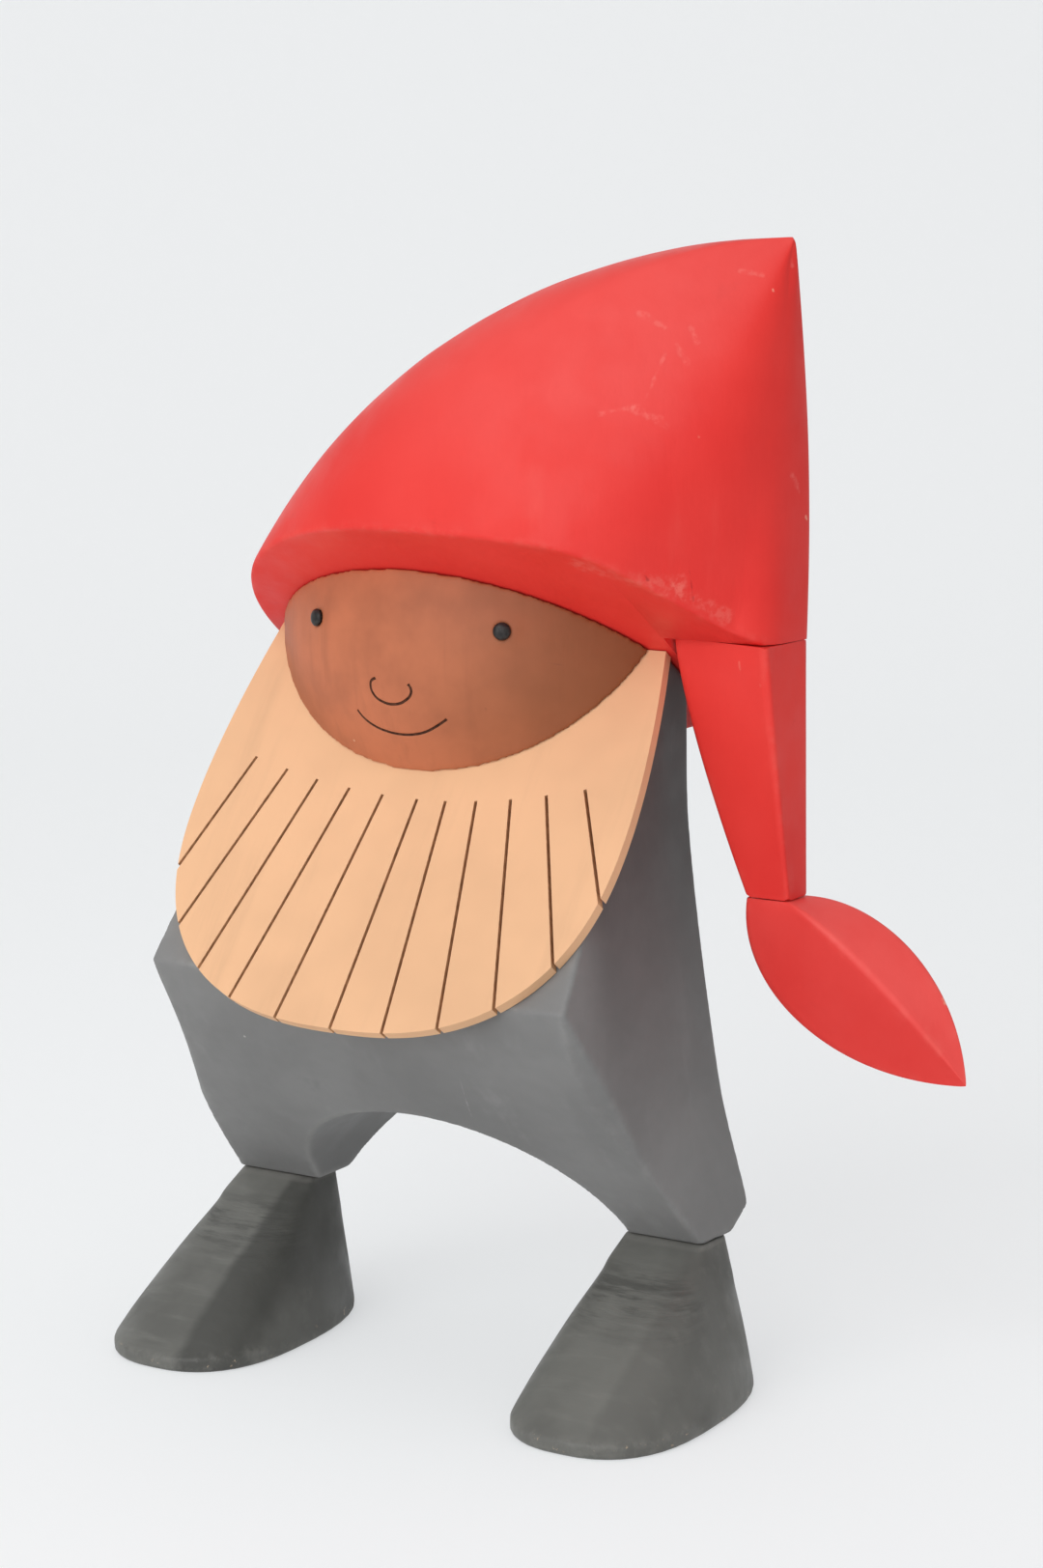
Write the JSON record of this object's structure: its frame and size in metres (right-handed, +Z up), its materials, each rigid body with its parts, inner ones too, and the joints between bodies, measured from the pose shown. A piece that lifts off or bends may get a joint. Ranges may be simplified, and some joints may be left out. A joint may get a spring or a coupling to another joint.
{
  "type": "carved nisse figure",
  "caption": "Standing carved wooden nisse: faceted body on wedge shoes, flat kerf-sawn beard board, domed face and a pointed hat with a hanging tail; free-standing ornament.",
  "frame": {"origin": "on the floor, in the middle of the figure's bounding box", "axes": "+Z up, front faces -Y, the figure's left side with the hat's tail is +X"},
  "size_m": [0.371, 0.185, 0.4808],
  "materials": {
    "grey_paint": "worn matt grey paint on carved wood",
    "dark_paint": "worn dark paint on carved wood",
    "red_paint": "satin red paint on carved wood",
    "face_stain": "brown stain, rubbed matt",
    "pale_wood": "bare sanded pale wood",
    "eye_paint": "satin black paint",
    "dowel_wood": "bare wood"
  },
  "bodies": {
    "root": {"body": "grey_paint", "shoe_left": "dark_paint", "shoe_right": "dark_paint", "head": "face_stain", "beard_board": "pale_wood", "hat_crown": "red_paint", "hat_tail": "red_paint", "hat_tassel": "red_paint", "eye_peg_left": "eye_paint", "eye_peg_right": "eye_paint", "hat_dowel_left": "dowel_wood", "hat_dowel_right": "dowel_wood", "head_dowel_left": "dowel_wood", "head_dowel_right": "dowel_wood", "shoe_dowel_left": "dowel_wood", "shoe_dowel_right": "dowel_wood", "tail_dowel": "dowel_wood", "tassel_dowel": "dowel_wood"}
  },
  "joints": []
}
